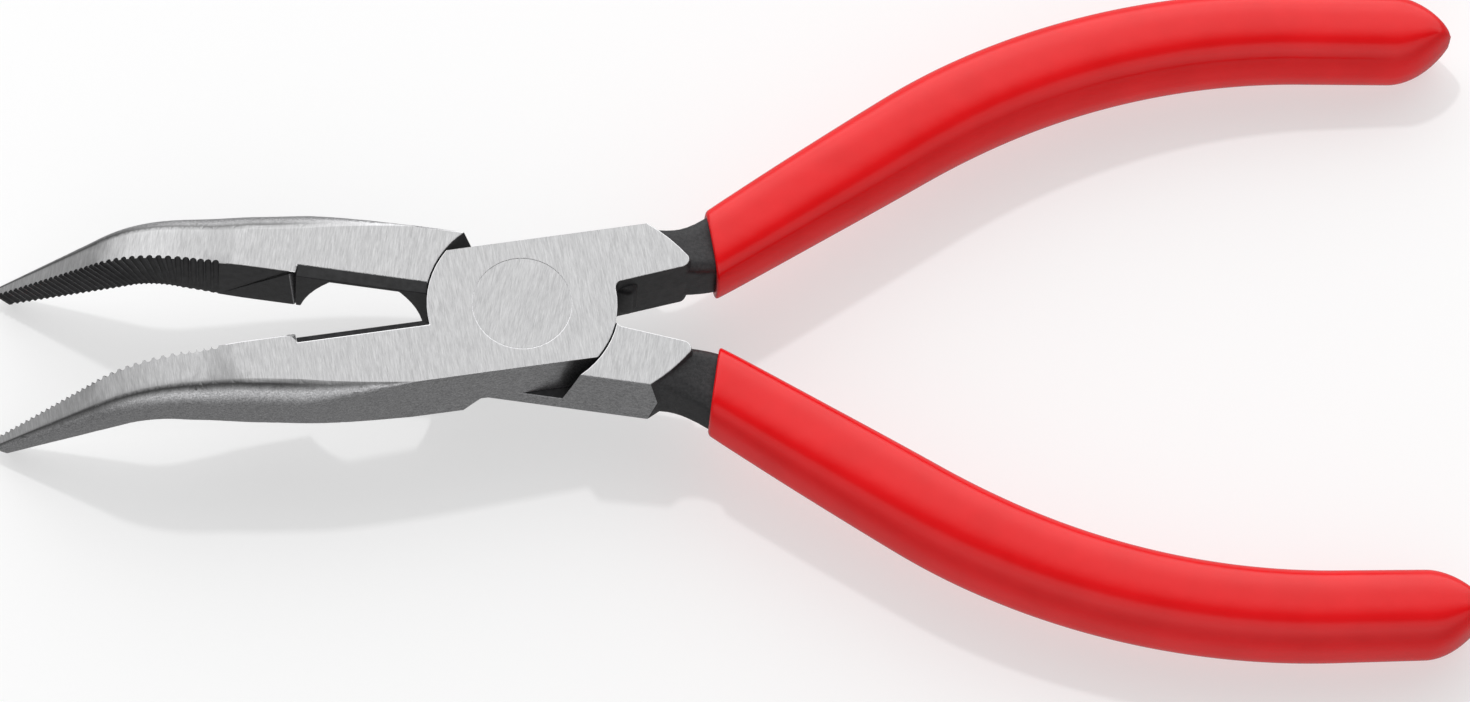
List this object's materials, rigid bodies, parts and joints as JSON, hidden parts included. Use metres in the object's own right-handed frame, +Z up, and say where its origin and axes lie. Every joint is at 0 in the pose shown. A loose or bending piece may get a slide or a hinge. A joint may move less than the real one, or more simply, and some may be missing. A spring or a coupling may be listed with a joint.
{
  "type": "needle nose pliers",
  "caption": "Snipe-nose side-cutting pliers with bent serrated jaws, a lap joint on a flush rivet and bowed plastic-dipped handles.",
  "frame": {"origin": "centre of the bounding box on the surface the pliers rest on, touching it with the jaw tips and the grip ends", "axes": "+X from the joint towards the handles, +Y towards the cutter-side jaw that ends in the rear half, +Z up, out of the front face of the head"},
  "size_m": [0.1582, 0.0772, 0.0166],
  "materials": {
    "forged_steel": "ground head and jaws, black gripping faces, cutters and tangs",
    "rivet_steel": "ground flush with the head",
    "red_plastic": "glossy dipped coating"
  },
  "bodies": {
    "front_lever": {"front_half": "forged_steel", "joint_rivet": "rivet_steel", "front_grip": "red_plastic"},
    "rear_lever": {"rear_half": "forged_steel", "rear_grip": "red_plastic"}
  },
  "joints": [
    {"name": "jaw_pivot", "type": "hinge", "parent": "front_lever", "child": "rear_lever", "pos_m": [-0.02235, 0, 0.01055], "axis": [0.0536, 0, 0.9986], "range_deg": [-30, 16.9]}
  ]
}
